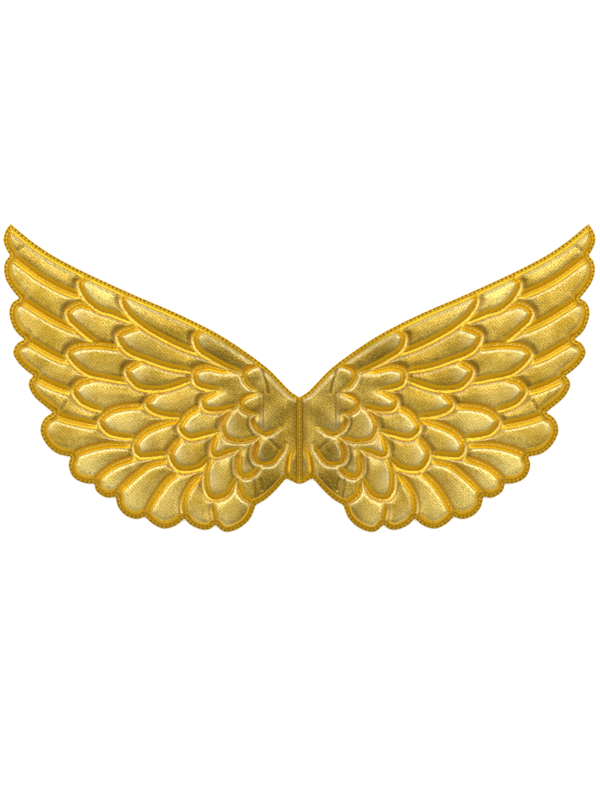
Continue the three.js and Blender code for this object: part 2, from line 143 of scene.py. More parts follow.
# Loose creases that no stitching holds: how dark the painted shade in each is, then points along it, in the
# same shares.
CREASE_ROWS = (
    ("neck_long", 0.75, (0.126, 0.530), (0.120, 0.510), (0.111, 0.480), (0.105, 0.451)),
    ("neck_outer", 0.35, (0.135, 0.451), (0.134, 0.420), (0.136, 0.380), (0.135, 0.331)),
    ("neck_inner", 0.35, (0.125, 0.451), (0.123, 0.420), (0.126, 0.380), (0.124, 0.335)),
    ("belly_outer", 0.45, (0.153, 0.169), (0.153, 0.143), (0.145, 0.111)),
    ("belly_inner", 0.45, (0.131, 0.169), (0.128, 0.155), (0.126, 0.137)),
    ("tip_dent", 0.35, (0.929, 0.934), (0.947, 0.917), (0.959, 0.905)),
    ("fifth_dent", 0.35, (0.787, 0.422), (0.794, 0.410), (0.804, 0.396)),
    ("back_dent", 0.30, (0.099, 0.299), (0.080, 0.280), (0.056, 0.260)),
)

# Patches of painted shade, darker cloth that stands in for shade: the middle of each patch in the same
# shares, its reach and how much it shows. The first, at the neck, also sets where soft waves swell the cloth
# there.
PAINTED_SHADE_ROWS = (
    (0.085, 0.410, 0.034, 0.60), (0.075, 0.365, 0.012, 0.5), (0.250, 0.590, 0.018, 1.0),
    (0.100, 0.160, 0.014, 1.0), (0.105, 0.262, 0.013, 1.0), (0.172, 0.235, 0.008, 0.6),
    (0.170, 0.060, 0.011, 0.7), (0.230, 0.480, 0.013, 0.6), (0.430, 0.630, 0.014, 0.4),
    (0.200, 0.340, 0.010, 0.4), (0.150, 0.500, 0.006, 0.7), (0.160, 0.415, 0.005, 0.6),
    (0.030, 0.230, 0.006, 0.6), (0.300, 0.230, 0.009, 0.3), (0.620, 0.560, 0.014, 0.2),
    (0.205, 0.545, 0.010, 0.8), (0.295, 0.630, 0.009, 0.9), (0.497, 0.604, 0.015, 0.35),
    (0.487, 0.503, 0.012, 0.40), (0.855, 0.532, 0.012, 0.25), (0.453, 0.681, 0.012, 0.15),
)
# Patches of painted highlight, paler cloth that stands in for light: the same values.
PAINTED_HIGHLIGHT_ROWS = (
    (0.666, 0.772, 0.015, 0.8), (0.830, 0.875, 0.014, 0.4), (0.570, 0.115, 0.018, 0.7),
    (0.457, 0.100, 0.017, 0.6), (0.706, 0.192, 0.018, 1.0), (0.530, 0.730, 0.010, 0.4),
    (0.622, 0.140, 0.014, 1.0), (0.215, 0.090, 0.012, 0.3), (0.590, 0.350, 0.014, 0.7),
    (0.745, 0.225, 0.010, 0.7), (0.547, 0.092, 0.014, 0.6), (0.110, 0.505, 0.006, 0.8),
    (0.339, 0.344, 0.010, 0.25), (0.656, 0.430, 0.011, 0.25), (0.060, 0.470, 0.006, 0.8),
    (0.032, 0.449, 0.005, 0.9), (0.014, 0.436, 0.004, 0.9), (0.270, 0.090, 0.005, 1.0),
    (0.250, 0.233, 0.006, 1.0), (0.212, 0.128, 0.004, 0.8), (0.131, 0.490, 0.004, 0.7),
    (0.131, 0.430, 0.003, 0.5), (0.105, 0.515, 0.009, 0.6), (0.075, 0.480, 0.008, 0.5),
    (0.045, 0.450, 0.006, 0.6),
)

front_low, front_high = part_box("right_wing_front")
half_span = front_high[0]
wing_foot = front_low[1]
wing_height = front_high[1] - front_low[1]
inner_edge = front_low[0]
front_base = front_low[2]
crown_top = front_high[2]
LIP_WIDTH = 0.0026
LIP_CLOTH = 0.0013
WALL_WIDTH = 0.0032
LEADING_LIP_WIDTH = 0.0018
LEADING_WALL_WIDTH = 0.0014
LEADING_ROLL_WIDTH = 0.0012
SMALL_WALL_WIDTH = 0.0021
TAIL_WALL_WIDTH = 0.0029
NECK_WALL_WIDTH = 0.0009
EDGE_RIM_SHARE = 0.6
LEADING_BLEND = 0.001
TAIL_REACH = 0.020
APEX_REACH = 0.030
LAST_REACH = 0.040
LAST_WALL_CUT = 0.4
SPINE_WALL_WIDTH = 0.0060
OUTER_WALL_WIDTH = 0.0011
OUTER_WALL_GROWTH = 0.0007
INNER_FOLDS_RAISED = 0.0018
OUTER_FOLDS_LOWERED = 0.0018
LEADING_TOP_DROP = 0.0024
WALL_RISE = 0.0043
FOLD_RISE = 0.0016
SHOULDER_REACH = 0.0032
SHOULDER_SHARE = 0.50
TIP_SHOULDER_SHARE = 0.85
PUFF_REACH = 0.0120
TIP_REACH = 0.0110
EDGE_TIP_REACH = 0.0090
SEAM_HALF = 0.0005
CREST_AWAY = 0.0011
CREST_HALF = 0.0012
NECK_CREST_CUT = 0.7
LEVEL_CREST = 0.4
SHADE_AWAY = 0.0014
SHADE_HALF = 0.0016
SHADE_SHARE = 0.15
RIM_AWAY = 0.0006
RIM_HALF = 0.0006
SIDE_BLEND = 0.0003
SIDE_SHARPNESS = 1.5
MASK_BLEND = 0.0008
RIM_DIP = 0.00022
RIM_DIP_HALF = 0.0007
COLOUR_PAST_WALL = 0.0003
TAPER_REACH = 0.0070
TAPER_WIDTH = 0.5
YELLOW_FROM = 0.030
YELLOW_FULL = 0.075
LEVEL_BRIGHT = 0.4
BRIGHT_GAIN = 0.9
ROLLED_GAIN = 1.5
ROLLED_FROM = 0.2
TUCK_AWAY = 0.0042
TUCK_HALF = 0.0015
TUCK_DEPTH = 0.00055
DULL_SHARE = 0.9
DULL_FADE = 2.0
CREASE_HALF = 0.0011
CREASE_DEPTH = 0.0010
SWELL = 0.00025
NECK_SWELL = 0.0018
SWELL_LENGTH = 0.016
NECK_SWELL_LENGTH = 0.013
SWELL_LAYER = 0.5
NECK_SWELL_LAYER = 3.5
SWELL_SINK = 0.3
NECK_SWELL_SINK = 0.45
CORNER_ROUNDING = 0.0008
FINE_STEP = 0.0007
CURVE_STOPS = 24
BATCH = 2000
CLEAN_SHARE = 0.97
EDGE_CLEARANCE = 0.4
POINT_CLEARANCE = 0.5
lip_top = front_base + LIP_CLOTH
wall_top = lip_top + WALL_RISE
fold_floor = lip_top + FOLD_RISE


def place(share):
    """A point of a table in metres, on the right wing, never nearer the spine than the front's inner edge."""
    return np.array((max(share[0] * half_span, inner_edge), wing_foot + share[1] * wing_height))


def smooth_line(knots, step):
    """Points about one step apart on a smooth line through the knots."""
    knots = np.array(knots)
    padded = np.vstack((2 * knots[0] - knots[1], knots, 2 * knots[-1] - knots[-2]))
    fine = []
    for a, b, c, d in zip(padded, padded[1:], padded[2:], padded[3:]):
        ta = 0.0
        tb = ta + math.sqrt(np.linalg.norm(b - a))
        tc = tb + math.sqrt(np.linalg.norm(c - b))
        td = tc + math.sqrt(np.linalg.norm(d - c))
        for t in np.linspace(tb, tc, CURVE_STOPS, endpoint=False):
            ab = (a * (tb - t) + b * (t - ta)) / (tb - ta)
            bc = (b * (tc - t) + c * (t - tb)) / (tc - tb)
            cd = (c * (td - t) + d * (t - tc)) / (td - tc)
            abc = (ab * (tc - t) + bc * (t - ta)) / (tc - ta)
            bcd = (bc * (td - t) + cd * (t - tb)) / (td - tb)
            fine.append((abc * (tc - t) + bcd * (t - tb)) / (tc - tb))
    fine.append(knots[-1])
    return even_steps(np.array(fine), step)


def even_steps(points, step):
    """The same open line with its points spaced evenly."""
    run = np.concatenate(([0.0], np.cumsum(np.linalg.norm(np.diff(points, axis=0), axis=1))))
    count = max(2, round(run[-1] / step))
    stops = np.linspace(0.0, run[-1], count + 1)
    return np.column_stack((np.interp(stops, run, points[:, 0]), np.interp(stops, run, points[:, 1])))


def wing_edges(step):
    """The right wing's free edge, its spine edge and the number of points on its leading edge."""
    parts = [smooth_line([place(share) for share in LEADING_EDGE], step)]
    parts += [smooth_line([place(share) for share in row[1:]], step)[1:] for row in EDGE_ROWS]
    free = np.vstack(parts)
    return free, even_steps(free[[-1, 0]], step), len(parts[0])


def gap_to(points, line):
    """How far each point is from a line, and how much to the right of its run and below it, up to 1."""
    tree = KDTree(len(line))
    for index, corner in enumerate(line):
        tree.insert((corner[0], corner[1], 0.0), index)
    tree.balance()
    nearest = np.array([tree.find((x, y, 0.0))[1] for x, y in points])
    before = np.maximum(nearest - 1, 0)
    after = np.minimum(nearest + 1, len(line) - 1)
    found_before = gap_to_stretch(points, line[before], line[nearest])
    found_after = gap_to_stretch(points, line[nearest], line[after])
    first = found_before[0] < found_after[0]
    return [np.where(first, one, other) for one, other in zip(found_before, found_after)]


def gap_to_stretch(points, start, end):
    """The same three values for each point from its own straight stretch."""
    run = end - start
    length = np.linalg.norm(run, axis=1)
    length = np.where(length > 0.0, length, np.inf)
    away = points - start
    share = np.clip((away * run).sum(1) / length ** 2, 0.0, 1.0)
    offset = away - share[:, None] * run
    gap = np.linalg.norm(offset, axis=1)
    turn = (run[:, 1] * away[:, 0] - run[:, 0] * away[:, 1]) / length
    safe_gap = np.maximum(gap, SIDE_BLEND)
    return np.where(np.isfinite(length), gap, np.inf), turn / safe_gap, -offset[:, 1] / safe_gap


def away_from(points, centre):
    """How far each point is from a centre."""
    return np.linalg.norm(points - centre, axis=1)


def clear_of(points, lines, gap):
    """The points that stand at least a gap away from every one of the lines."""
    for line in lines:
        points = points[gap_to(points, line)[0] > gap]
    return points


def inside(points, outline):
    """Which points lie inside a closed outline."""
    low = outline
    high = np.roll(outline, -1, axis=0)
    result = np.zeros(len(points), bool)
    for first in range(0, len(points), BATCH):
        x = points[first:first + BATCH, 0, None]
        y = points[first:first + BATCH, 1, None]
        spans = (low[None, :, 1] > y) != (high[None, :, 1] > y)
        rise = np.where(high[:, 1] == low[:, 1], 1.0, high[:, 1] - low[:, 1])
        cross = low[:, 0] + (high[:, 0] - low[:, 0]) * (y - low[:, 1]) / rise
        result[first:first + BATCH] = (spans & (x < cross)).sum(1) % 2 == 1
    return result


def beside(line, offset):
    """A line moved sideways by an offset: to the right of its run, which is into the wing, if positive."""
    run = np.gradient(line, axis=0)
    run /= np.linalg.norm(run, axis=1)[:, None]
    return line + offset * np.column_stack((run[:, 1], -run[:, 0]))


free_edge, spine_edge, leading_count = wing_edges(FINE_STEP)
edge = np.vstack((free_edge, spine_edge[1:-1]))
closed_edge = np.vstack((edge, edge[:1]))
fold_lines = [smooth_line([place(share) for share in row[1:]], FINE_STEP) for row in FOLD_ROWS]
crease_lines = [smooth_line([place(share) for share in row[2:]], FINE_STEP) for row in CREASE_ROWS]
tucked = [row[0].split("_")[0] in ("covert", "middle", "lower", "under", "inner") for row in FOLD_ROWS]
fold_tips = [line[np.argmax(line[:, 0])] for line, is_tucked in zip(fold_lines, tucked) if is_tucked]
edge_tips = [place(row[2]) for row in EDGE_ROWS if row[0].startswith(("primary", "tail"))]
tail_centre = place((0.060, 0.150))
apex_centre = place((0.060, 0.490))
last_centre = place((0.200, 0.020))


def soft_corner(value, corner, rounding):
    """Rises with value up to the corner and stays there, with the corner itself rounded off."""
    below = corner - value
    return corner - 0.5 * (below + np.sqrt(below ** 2 + rounding ** 2))


def wall_profile(reach, width, foot, top, shoulder, ledge=0.0):
    """The height at a distance from a wall's foot: its rounded upper corner, a ledge and then the puff."""
    climb = soft_corner(reach, width, CORNER_ROUNDING) - soft_corner(0.0, width, CORNER_ROUNDING)
    near = np.clip((reach - width - ledge) / SHOULDER_REACH, 0.0, 1.0)
    far = np.clip((reach - width - ledge) / PUFF_REACH, 0.0, 1.0)
    puff = shoulder * (1.0 - (1.0 - near) ** 2) + (1.0 - shoulder) * (1.0 - (1.0 - far) ** 2)
    return foot + (top - foot) * climb / width + (crown_top - top) * puff


def hump(distance, half_width):
    """A smooth bump that is one at no distance and fades out past its half width."""
    return np.exp(-(distance / half_width) ** 2)


def soft_swell(points, length, layer):
    """Slow smooth waves over the points, from about -1 to 1."""
    return np.array([soft_noise.noise((x / length, y / length, layer)) for x, y in points])


def front_surface(points):
    """The height of the puffed front over each point, and masks of its walls, lip, tucks and creases, with
    those of its painted highlights and painted shade.
    """
    from_edge, _, below_edge = gap_to(points, free_edge)
    from_leading = gap_to(points, free_edge[:leading_count])[0]
    from_spine = gap_to(points, spine_edge)[0]
    to_tip = np.min([away_from(points, tip) for tip in fold_tips + edge_tips], axis=0)
    to_edge_tip = np.min([away_from(points, tip) for tip in edge_tips], axis=0)
    shoulder = SHOULDER_SHARE + (TIP_SHOULDER_SHARE - SHOULDER_SHARE) * hump(to_tip, TIP_REACH)
    near_leading = np.clip(1.0 - (from_leading - from_edge) / LEADING_BLEND, 0.0, 1.0)
    yellow = np.clip((points[:, 0] - YELLOW_FROM) / (YELLOW_FULL - YELLOW_FROM), 0.0, 1.0)
    rolled_edge = near_leading * yellow
    lip_width = LIP_WIDTH + (LEADING_LIP_WIDTH - LIP_WIDTH) * rolled_edge
    past_lip = np.maximum(from_edge - lip_width, 0.0)
    near_neck = np.maximum(hump(away_from(points, tail_centre), TAIL_REACH),
                           hump(away_from(points, apex_centre), APEX_REACH))
    edge_wall = WALL_WIDTH + (LEADING_WALL_WIDTH - WALL_WIDTH) * near_leading
    edge_wall += (NECK_WALL_WIDTH - edge_wall) * near_neck
    edge_wall -= LAST_WALL_CUT * edge_wall * hump(away_from(points, last_centre), LAST_REACH)
    edge_top = wall_top - LEADING_TOP_DROP * rolled_edge
    ledge = LEADING_ROLL_WIDTH * rolled_edge
    heights = wall_profile(past_lip, edge_wall, lip_top, edge_top, shoulder, ledge)
    heights = np.minimum(heights, wall_profile(from_spine, SPINE_WALL_WIDTH, lip_top, wall_top, shoulder))
    pressed = np.maximum(1.0 - past_lip / edge_wall, 1.0 - from_spine / SPINE_WALL_WIDTH)
    rim_dip = hump(past_lip - edge_wall - ledge, RIM_DIP_HALF)
    # Painted light along the top of the edge wall: a cream painted highlight crest where it faces up, painted
    # shade where it faces down.
    crest_away = CREST_AWAY * (1.0 - NECK_CREST_CUT * near_neck)
    crest_highlight = hump(past_lip - edge_wall - ledge - crest_away, CREST_HALF) * np.clip(below_edge, 0.0, 1.0)
    shade = hump(past_lip - edge_wall - SHADE_AWAY, SHADE_HALF) * np.clip(-below_edge, 0.0, 1.0)
    # The rim mask is a painted shadow line along the top of the leading edge's roll, and painted shade over
    # the other edge walls.
    rim = hump(past_lip - edge_wall - ledge, RIM_HALF) * rolled_edge
    rim = np.maximum(rim, EDGE_RIM_SHARE * step_down(past_lip, edge_wall) * (1.0 - near_leading))
    # Edge wall colours: amber painted shade on all but the leading edge, yellow painted light on the leading
    # edge's roll, which faces up.
    on_wall = step_down(past_lip, edge_wall + ledge + COLOUR_PAST_WALL)
    under = on_wall * (1.0 - near_leading)
    over = on_wall * rolled_edge
    tuck_and_shadow = np.zeros(len(points))
    seam = np.zeros(len(points))
    highlight_strip = np.zeros(len(points))
    # The tip mask is a painted cream highlight near the end of each primary and tail feather.
    tip = hump(to_edge_tip, EDGE_TIP_REACH)
    for row, line, is_tucked in zip(FOLD_ROWS, fold_lines, tucked):
        gap, side, below = gap_to(points, line)
        full = fold_strength(points, line)
        inner, outer = wall_widths(row[0])
        if not row[0].startswith("primary"):
            outer = outer + OUTER_WALL_GROWTH * yellow
        width = (inner + outer) / 2 + side * (inner - outer) / 2
        width = width * (TAPER_WIDTH + (1.0 - TAPER_WIDTH) * full)
        floor_here = fold_floor + (wall_top - fold_floor) * (1.0 - full)
        outward = np.clip(-side, 0.0, 1.0) * (outer < inner)
        raised = INNER_FOLDS_RAISED * (1.0 - yellow) - OUTER_FOLDS_LOWERED * yellow
        top_here = wall_top + raised * outward * full
        heights = np.minimum(heights, wall_profile(gap, width, floor_here, top_here, shoulder))
        pressed = np.maximum(pressed, (1.0 - gap / width) * full)
        seam = np.maximum(seam, hump(gap, SEAM_HALF) * full)
        rim_dip = np.maximum(rim_dip, hump(gap - width, RIM_DIP_HALF) * full)
        # Beside each fold: a cream painted highlight crest on the shoulders, strongest where they face up,
        # and painted shade on inner shoulders that face down.
        facing_in = np.clip(side * SIDE_SHARPNESS + 0.5, 0.0, 1.0)
        lit_outside = np.clip(LEVEL_CREST + (1.0 - LEVEL_CREST) * below, 0.0, 1.0)
        lit = facing_in * np.clip(below, 0.0, 1.0) + (1.0 - facing_in) * lit_outside
        crest_highlight = np.maximum(crest_highlight, hump(gap - width - CREST_AWAY, CREST_HALF) * lit * full)
        unlit = facing_in * np.clip(-below, 0.0, 1.0)
        shade = np.maximum(shade, hump(gap - width - SHADE_AWAY, SHADE_HALF) * unlit * full)
        # Fold wall colours paint light and shade over the pressed cloth's deep yellow: the inner wall amber
        # with painted shade, a primary's outer wall yellow with painted light.
        on_wall = step_down(gap, width + COLOUR_PAST_WALL) * full ** 0.5
        on_outer = on_wall * (1.0 - facing_in)
        under = np.maximum(under * (1.0 - on_outer), on_wall * facing_in)
        if row[0].startswith("primary"):
            # A painted shadow line just past a primary's outer wall.
            rim = np.maximum(rim, hump(gap - width - RIM_AWAY, RIM_HALF) * (1.0 - facing_in) * full)
            over = np.maximum(over * (1.0 - on_wall * facing_in), on_outer)
        else:
            # On other folds the outer wall is painted by how far it faces up: yellow painted light, a pale
            # painted highlight strip, and amber painted shade where it faces down.
            bright = np.clip(LEVEL_BRIGHT + BRIGHT_GAIN * below, 0.0, 1.0)
            rolled = yellow * np.clip(ROLLED_GAIN * below - ROLLED_FROM, 0.0, 1.0)
            under = np.maximum(under, on_outer * (1.0 - bright))
            over = np.maximum(over * (1.0 - on_wall * facing_in), on_outer * bright * rolled)
            highlight_strip = np.maximum(highlight_strip * (1.0 - on_wall * facing_in), on_outer * bright * (1.0 - rolled))
        # Near the end of each tucked feather: a dent outside it darkened with painted shadow, and a painted
        # cream highlight inside, taken off where its inner wall faces down.
        if is_tucked:
            from_end = away_from(points, line[np.argmax(line[:, 0])])
            nearby = hump(from_end, TIP_REACH) * (1.0 - facing_in)
            tuck_and_shadow = np.maximum(tuck_and_shadow, nearby * hump(gap - TUCK_AWAY, TUCK_HALF))
            not_lit = facing_in * (1.0 - np.clip(DULL_FADE * below, 0.0, 1.0))
            dull = DULL_SHARE * hump(gap - width, CREST_HALF) * not_lit
            tip = np.maximum(tip * (1.0 - nearby), hump(from_end, TIP_REACH) * facing_in) * (1.0 - dull)
    # Each crease is pinched into the cloth and darkened with painted shade.
    crease = np.zeros(len(points))
    crease_shadow = np.zeros(len(points))
    for row, line in zip(CREASE_ROWS, crease_lines):
        pinch = hump(gap_to(points, line)[0], CREASE_HALF)
        crease = np.maximum(crease, pinch)
        crease_shadow = np.maximum(crease_shadow, row[1] * pinch)
    pressed = np.clip(pressed, 0.0, 1.0)
    loose = (1.0 - pressed) ** 2
    # Patches of painted shade and of painted highlight; the first shade patch also scales the neck's soft
    # waves.
    shade_patches = patches(points, PAINTED_SHADE_ROWS)
    light = np.max(patches(points, PAINTED_HIGHLIGHT_ROWS), axis=0) * (1.0 - pressed)
    swell = SWELL * (soft_swell(points, SWELL_LENGTH, SWELL_LAYER) - SWELL_SINK)
    neck_waves = soft_swell(points, NECK_SWELL_LENGTH, NECK_SWELL_LAYER) - NECK_SWELL_SINK
    swell += NECK_SWELL * shade_patches[0] * neck_waves
    walls = np.maximum(np.maximum(under, over), highlight_strip)
    tuck_and_shadow *= 1.0 - walls
    crease *= 1.0 - walls
    crest_highlight *= (1.0 - walls) * (1.0 - tuck_and_shadow)
    heights += loose * swell - TUCK_DEPTH * tuck_and_shadow - CREASE_DEPTH * crease - RIM_DIP * rim_dip
    heights = np.where(from_edge <= lip_width, lip_top, heights)
    lip = step_down(from_edge, lip_width)
    masks = {
        "under": under * (1.0 - lip), "over": over * (1.0 - lip), "lip": lip, "highlight_strip": highlight_strip,
        "seam": seam * (1.0 - lip), "rim": rim, "crest_highlight": crest_highlight,
        "tuck_and_shadow": np.maximum(tuck_and_shadow, SHADE_SHARE * shade * (1.0 - walls)), "crease": crease_shadow * (1.0 - walls),
        "tip": tip, "shade_patches": np.max(shade_patches, axis=0), "light": light,
    }
    return heights, masks


def patches(points, rows):
    """How much each patch of a table shows at each point."""
    return [strength * hump(away_from(points, place((x, y))), reach) for x, y, reach, strength in rows]


def wall_widths(name):
    """The widths of a fold's walls, inside and outside the feather it runs round."""
    if name.startswith("primary"):
        return WALL_WIDTH, WALL_WIDTH
    if name.startswith("tail"):
        return TAIL_WALL_WIDTH, OUTER_WALL_WIDTH
    small = name.startswith(("shoulder", "inner"))
    return SMALL_WALL_WIDTH if small else WALL_WIDTH, OUTER_WALL_WIDTH


def fold_strength(points, line):
    """One along a fold, fading to zero towards each end of it that stops inside the wing."""
    strength = np.ones(len(points))
    for end in (line[0], line[-1]):
        if gap_to(end[None, :], free_edge)[0][0] > LIP_WIDTH + WALL_WIDTH:
            strength = np.minimum(strength, away_from(points, end) / TAPER_REACH)
    return strength


def step_down(distance, limit):
    """One up to the limit and zero past it, with a narrow blend between."""
    return np.clip((limit - distance) / MASK_BLEND + 0.5, 0.0, 1.0)


def knit_points():
    """Points that follow the edge, the wall lines and the folds, filled in between with an even spread."""
    guides = []
    for offset in (LIP_WIDTH, LIP_WIDTH + WALL_WIDTH):
        moved = beside(free_edge, offset)
        guides.append(moved[gap_to(moved, free_edge)[0] > CLEAN_SHARE * offset])
    for row, line in zip(FOLD_ROWS, fold_lines):
        inner, outer = wall_widths(row[0])
        guides.append(beside(line, inner))
        guides.append(beside(line, -outer))
    columns = np.arange(0.0, half_span, FINE_STEP)
    rows = np.arange(wing_foot, wing_foot + wing_height, FINE_STEP * math.sqrt(3) / 2)
    x, y = np.meshgrid(columns, rows)
    x[1::2] += FINE_STEP / 2
    fill = np.column_stack((x.ravel(), y.ravel()))
    folds = np.vstack(fold_lines)
    folds = clear_of(folds[inside(folds, edge)], [closed_edge], EDGE_CLEARANCE * FINE_STEP)
    guides = np.vstack(guides)
    others = [guides[inside(guides, edge)], fill[inside(fill, edge)]]
    others = clear_of(np.vstack(others), [closed_edge] + fold_lines, POINT_CLEARANCE * FINE_STEP)
    kept = thinned(np.vstack((folds, others)), POINT_CLEARANCE * FINE_STEP)
    return np.vstack((edge, kept))


def thinned(points, gap):
    """Leaves out each point that comes closer than the gap to one before it."""
    taken = {}
    kept = []
    for point in points:
        cell = (int(point[0] // gap), int(point[1] // gap))
        near = [taken.get((cell[0] + i, cell[1] + j)) for i in (-1, 0, 1) for j in (-1, 0, 1)]
        if all(other is None or math.dist(other, point) >= gap for other in near):
            taken[cell] = point
            kept.append(point)
    return np.array(kept)


def close_down_to(shape, height):
    """Draws the open rim of a surface straight down to a height and closes it there with a flat face."""
    rim = [e for e in shape.edges if e.is_boundary]
    wall = bmesh.ops.extrude_edge_only(shape, edges=rim)["geom"]
    for part in wall:
        if isinstance(part, bmesh.types.BMVert):
            part.co.z = height
    foot_rim = [part for part in wall if isinstance(part, bmesh.types.BMEdge) and part.is_boundary]
    bmesh.ops.contextual_create(shape, geom=foot_rim)


def finished(shape, name):
    """Makes a smooth shaded object of a mesh that is still being edited, with its sides facing out."""
    bmesh.ops.recalc_face_normals(shape, faces=shape.faces)
    mesh = bpy.data.meshes.new(name)
    shape.to_mesh(mesh)
    shape.free()
    return in_scene(mesh, name)


def in_scene(mesh, name):
    """Adds a mesh to the scene as a smooth shaded object."""
    mesh.polygons.foreach_set("use_smooth", [True] * len(mesh.polygons))
    piece = bpy.data.objects.new(name, mesh)
    bpy.context.scene.collection.objects.link(piece)
    return piece


def wing_front(name, side):
    """One puffed front as a closed mesh: its quilted top, a low wall round it and a flat underside."""
    shape = bmesh.new()
    layers = [shape.verts.layers.float.new(mask_name) for mask_name in front_masks]
    corners = [shape.verts.new((x, y, z)) for (x, y), z in zip(front_points, front_z)]
    for layer, mask in zip(layers, front_masks.values()):
        for corner, value in zip(corners, mask):
            corner[layer] = value
    for a, b, c in front_faces:
        shape.faces.new((corners[a], corners[b], corners[c]))
    close_down_to(shape, front_base)
    bmesh.ops.scale(shape, vec=(side, 1.0, 1.0), verts=shape.verts)
    return finished(shape, name)


front_points = knit_points()
rim_count = len(edge)
rim_edges = [(i, (i + 1) % rim_count) for i in range(rim_count)]
knitted = delaunay_2d_cdt([Vector(p) for p in front_points], rim_edges, [], 1, 1e-7)
front_points = np.array([tuple(p) for p in knitted[0]])
front_faces = knitted[2]
front_z, front_masks = front_surface(front_points)
left_front = wing_front("left_front", -1)
right_front = wing_front("right_front", 1)


def new_group(name, inputs, outputs):
    """An empty shader node group with its sockets, and its two end nodes."""
    group = bpy.data.node_groups.new(name, "ShaderNodeTree")
    for socket_name, kind, value in inputs:
        socket = group.interface.new_socket(name=socket_name, in_out="INPUT", socket_type=kind)
        socket.default_value = value
    for socket_name, kind in outputs:
        group.interface.new_socket(name=socket_name, in_out="OUTPUT", socket_type=kind)
    return group, group.nodes.new("NodeGroupInput"), group.nodes.new("NodeGroupOutput")


def feed(links, socket, value):
    """Links an output socket to an input, or sets the input to a plain value."""
    if isinstance(value, bpy.types.NodeSocket):
        links.new(value, socket)
    else:
        socket.default_value = value


def math_node(nodes, links, operation, *values):
    """A Math node with its inputs linked or set, as its output socket."""
    node = nodes.new("ShaderNodeMath")
    node.operation = operation
    for socket, value in zip(node.inputs, values):
        feed(links, socket, value)
    return node.outputs[0]


def noise(nodes, links, place_socket, scale, detail=2.0, roughness=0.5):
    """A Noise node read at a place, as its output socket."""
    node = nodes.new("ShaderNodeTexNoise")
    node.inputs["Scale"].default_value = scale
    node.inputs["Detail"].default_value = detail
    node.inputs["Roughness"].default_value = roughness
    links.new(place_socket, node.inputs["Vector"])
    return node.outputs["Fac"]


def remap(nodes, links, value, low, high, to_low=0.0, to_high=1.0):
    """A clamped Map Range node, as its output socket."""
    node = nodes.new("ShaderNodeMapRange")
    node.inputs["From Min"].default_value = low
    node.inputs["From Max"].default_value = high
    node.inputs["To Min"].default_value = to_low
    node.inputs["To Max"].default_value = to_high
    links.new(value, node.inputs["Value"])
    return node.outputs["Result"]


def blend(nodes, links, kind, factor, first, second):
    """A Mix node of one kind with its inputs linked or set, as its output socket."""
    node = nodes.new("ShaderNodeMix")
    node.data_type = kind
    for name, value in (("Factor", factor), ("A", first), ("B", second)):
        feed(links, node.inputs[name], value)
    return node.outputs["Result"]


def blend_colour(nodes, links, factor, first, second):
    """One colour blended into another, as an output socket."""
    return blend(nodes, links, "RGBA", factor, first, second)


def scaled(nodes, links, colour, factor):
    """A colour times a factor, as an output socket."""
    node = nodes.new("ShaderNodeVectorMath")
    node.operation = "SCALE"
    feed(links, node.inputs[0], colour)
    links.new(factor, node.inputs["Scale"])
    return node.outputs[0]


def new_material(name):
    """A new material, its nodes, its links and its shader."""
    material = bpy.data.materials.new(name)
    material.use_nodes = True
    tree = material.node_tree
    return material, tree.nodes, tree.links, tree.nodes["Principled BSDF"]


def attribute(nodes, name):
    """The value of a mesh attribute, as an output socket."""
    node = nodes.new("ShaderNodeAttribute")
    node.attribute_name = name
    return node.outputs["Fac"]


def foil_weave_group():
    """Fine ribs of flat foil yarn with broken glints between them: a tone and a height. The tone is partly
    the yarn's own grain, partly painted glints in the cloth's colour.
    """
    group, start, end = new_group(
        "foil_weave", (("Rib Scale", "NodeSocketFloat", 220.0),),
        (("Tone", "NodeSocketFloat"), ("Height", "NodeSocketFloat")))
    nodes, links = group.nodes, group.links
    place_socket = nodes.new("ShaderNodeTexCoord").outputs["Object"]
    ribs = nodes.new("ShaderNodeTexWave")
    ribs.bands_direction = "DIAGONAL"
    ribs.inputs["Distortion"].default_value = 1.5
    ribs.inputs["Detail"].default_value = 1.0
    links.new(start.outputs["Rib Scale"], ribs.inputs["Scale"])
    links.new(place_socket, ribs.inputs["Vector"])
    grain = noise(nodes, links, place_socket, GRAIN_SCALE, 1.0, 0.6)
    speck = remap(nodes, links, grain, NOISE_LOW, NOISE_HIGH)
    rib_tone = math_node(nodes, links, "MULTIPLY", ribs.outputs["Fac"], RIB_SHARE)
    tone = math_node(nodes, links, "MULTIPLY_ADD", speck, 1.0 - RIB_SHARE, rib_tone)
    links.new(tone, end.inputs["Tone"])
    links.new(tone, end.inputs["Height"])
    return group


